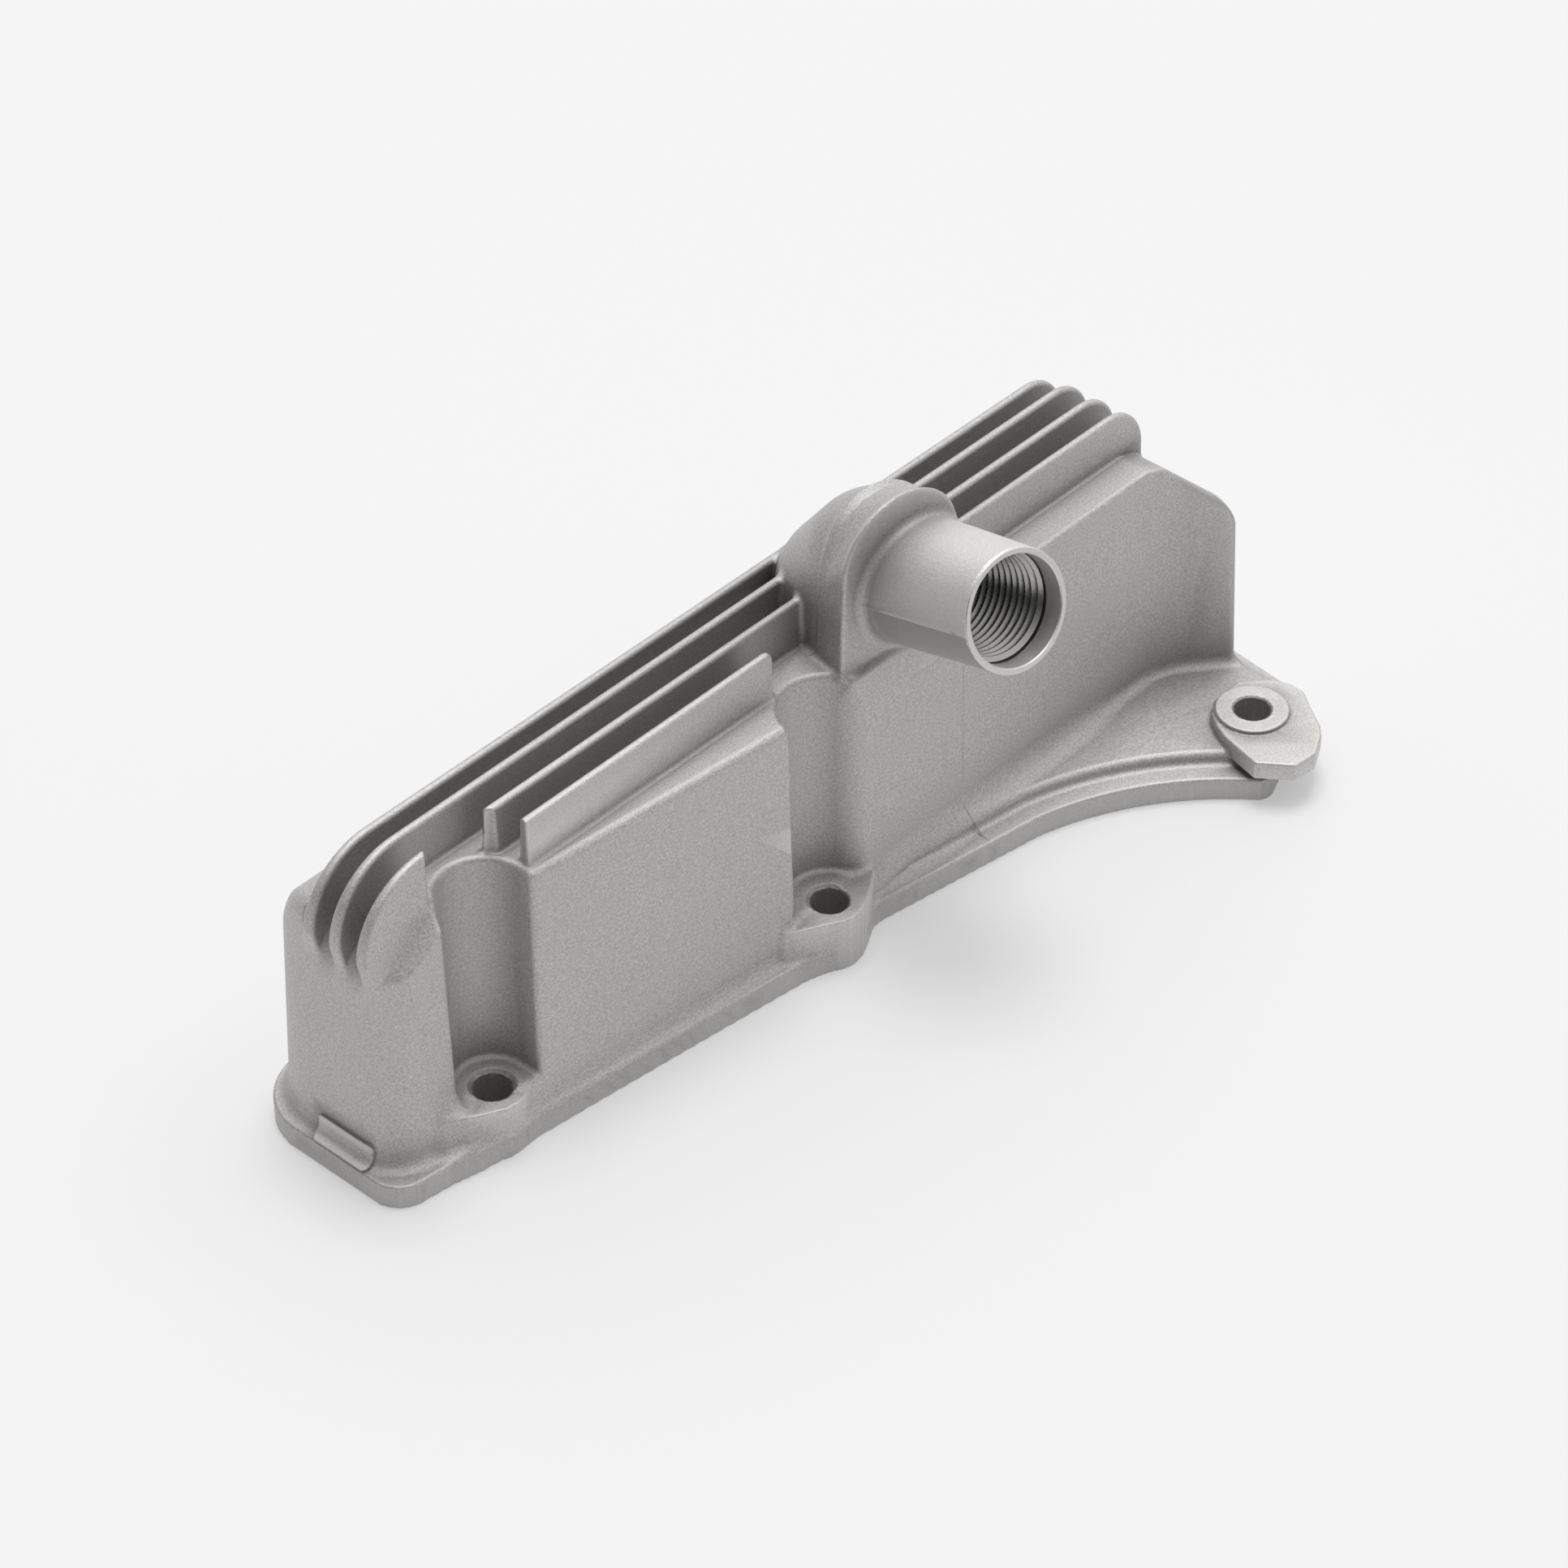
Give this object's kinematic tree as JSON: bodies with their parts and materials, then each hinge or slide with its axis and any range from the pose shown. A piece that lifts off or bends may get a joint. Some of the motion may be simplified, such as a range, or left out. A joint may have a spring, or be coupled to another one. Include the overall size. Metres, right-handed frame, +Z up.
{
  "type": "crankcase cover",
  "caption": "Finned cast aluminium crankcase cover with an open underside, a flat sealing flange, clearance holes for bolts and a tilted threaded port.",
  "frame": {"origin": "centre of the middle bolt hole, on the flat sealing face under the flange", "axes": "+X along the cooling fins, towards the end with the wing and the corner bolt hole; +Y towards the plain rear wall; +Z up from the sealing face, along the bolt holes"},
  "size_m": [0.1937, 0.0783, 0.081],
  "materials": {
    "cast_aluminium": "fine grit-blasted casting, satin, with turned and drilled faces a little brighter"
  },
  "bodies": {
    "root": {"crankcase_cover": "cast_aluminium"}
  },
  "joints": []
}
